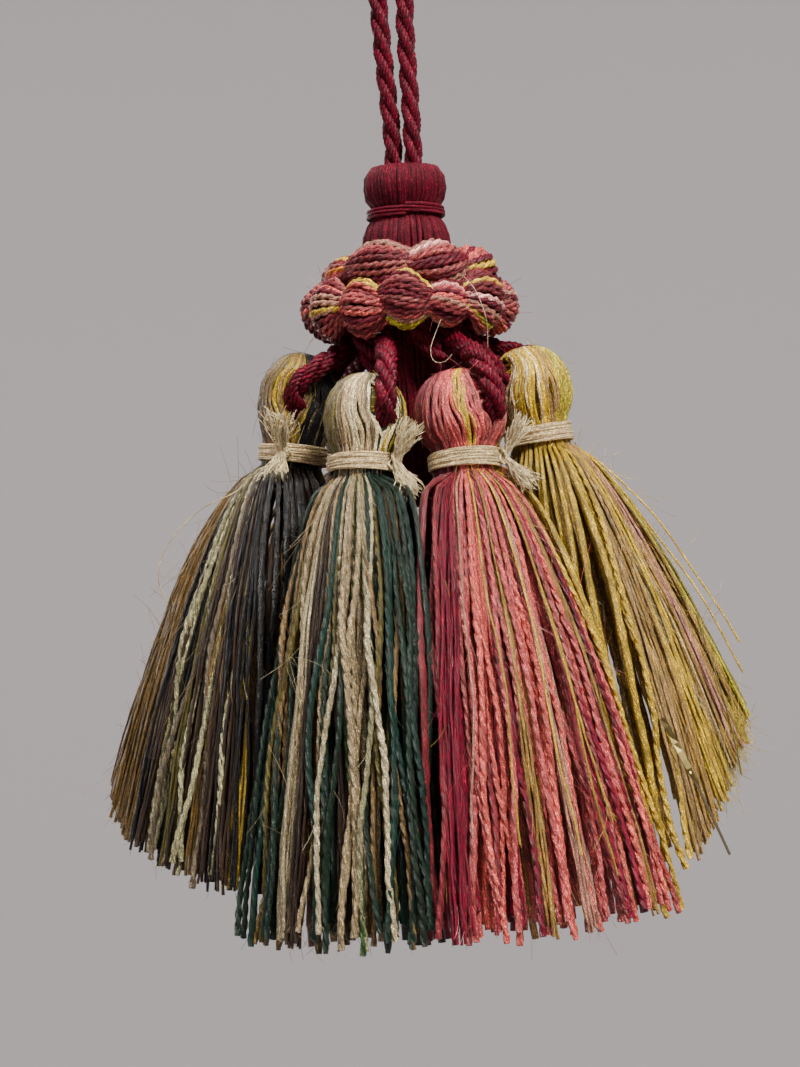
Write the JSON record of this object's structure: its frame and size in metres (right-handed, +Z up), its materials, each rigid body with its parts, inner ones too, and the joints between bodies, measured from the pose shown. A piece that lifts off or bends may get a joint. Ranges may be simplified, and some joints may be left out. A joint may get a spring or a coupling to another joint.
{
  "type": "cluster tassel",
  "caption": "Hanging cluster tassel: a cord loop, a bound collar, a knotted ruff and small multicoloured yarn tassels on cord loops.",
  "frame": {"origin": "top of the hanging loop, where it hangs from a key, knob or handle", "axes": "+Z up along the tassel's axis, -Y to the front, +X to the right of someone who looks at the front"},
  "size_m": [0.0699, 0.0629, 0.1214],
  "materials": {
    "hanging_cord": "three-ply crimson cord",
    "head_yarn": "crimson satin yarn",
    "binding_thread": "crimson thread",
    "ruff_yarn": "two-ply rose yarn with gold and crimson strands",
    "loop_cord": "three-ply crimson cord",
    "tie_thread": "beige thread with frayed ends",
    "tassel_yarn_1": "olive, taupe, mustard and black yarn",
    "tassel_yarn_2": "cream, taupe, green and teal yarn",
    "tassel_yarn_3": "rose, coral and crimson yarn",
    "tassel_yarn_4": "gold and beige yarn with a foil strip",
    "tassel_yarn_5": "amber and rust yarn",
    "tassel_yarn_6": "taupe and olive yarn"
  },
  "bodies": {
    "root": {"hanging_loop": "hanging_cord", "head": "head_yarn", "collar_binding": "binding_thread", "ruff": "ruff_yarn", "cord_loop_1": "loop_cord", "cord_loop_2": "loop_cord", "cord_loop_3": "loop_cord", "cord_loop_4": "loop_cord", "cord_loop_5": "loop_cord", "cord_loop_6": "loop_cord", "tassel_1": "tassel_yarn_1", "tassel_2": "tassel_yarn_2", "tassel_3": "tassel_yarn_3", "tassel_4": "tassel_yarn_4", "tassel_5": "tassel_yarn_5", "tassel_6": "tassel_yarn_6", "tie_1": "tie_thread", "tie_2": "tie_thread", "tie_3": "tie_thread", "tie_4": "tie_thread", "tie_5": "tie_thread", "tie_6": "tie_thread"}
  },
  "joints": []
}
